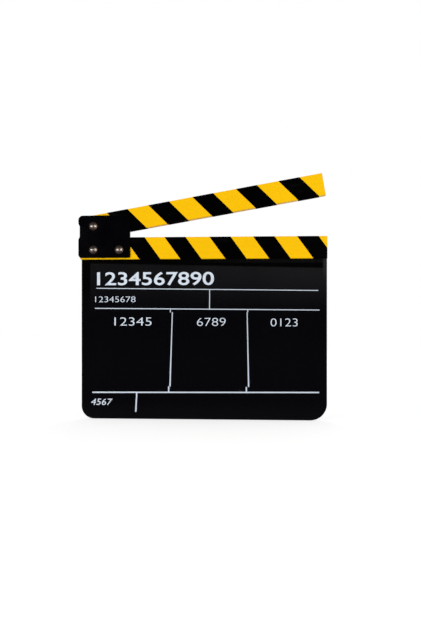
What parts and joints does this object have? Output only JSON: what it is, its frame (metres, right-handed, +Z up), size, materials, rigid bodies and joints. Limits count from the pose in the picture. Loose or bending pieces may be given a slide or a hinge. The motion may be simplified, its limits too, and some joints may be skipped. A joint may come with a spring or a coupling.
{
  "type": "clapperboard",
  "caption": "Film clapperboard: black slate panel with white ruled fields, carried by a striped yellow stick, with a matching clap stick hinged above it between black plates.",
  "frame": {"origin": "on the slate panel's lower edge, in the middle of the panel's width and thickness", "axes": "+Z up the board to the sticks, +X along the sticks from the hinge to the free end, -Y out of the printed front"},
  "size_m": [0.3019, 0.0238, 0.2963],
  "materials": {
    "slate_acrylic": "gloss",
    "yellow_wood": "satin paint",
    "black_plate": "satin powder coat",
    "nickel": "polished",
    "nylon": "matte",
    "screw_steel": "zinc plated",
    "black_film": "satin",
    "white_ink": "printed ink"
  },
  "bodies": {
    "board": {"slate_panel": "slate_acrylic", "lower_stick": "yellow_wood", "front_hinge_plate": "black_plate", "rear_hinge_plate": "black_plate", "pivot_post": "nickel", "pivot_screw": "nickel", "fixing_posts": "nickel", "fixing_screws": "nickel", "front_pivot_washer": "nylon", "rear_pivot_washer": "nylon", "panel_screws": "screw_steel", "lower_stick_stripes": "black_film", "printed_rules": "white_ink"},
    "clap_stick": {"upper_stick": "yellow_wood", "upper_stick_stripes": "black_film"}
  },
  "joints": [
    {"name": "clap_hinge", "type": "hinge", "parent": "board", "child": "clap_stick", "pos_m": [-0.1334, 0, 0.2348], "axis": [0, -1, 0], "range_deg": [-9.85, 72.15]}
  ]
}
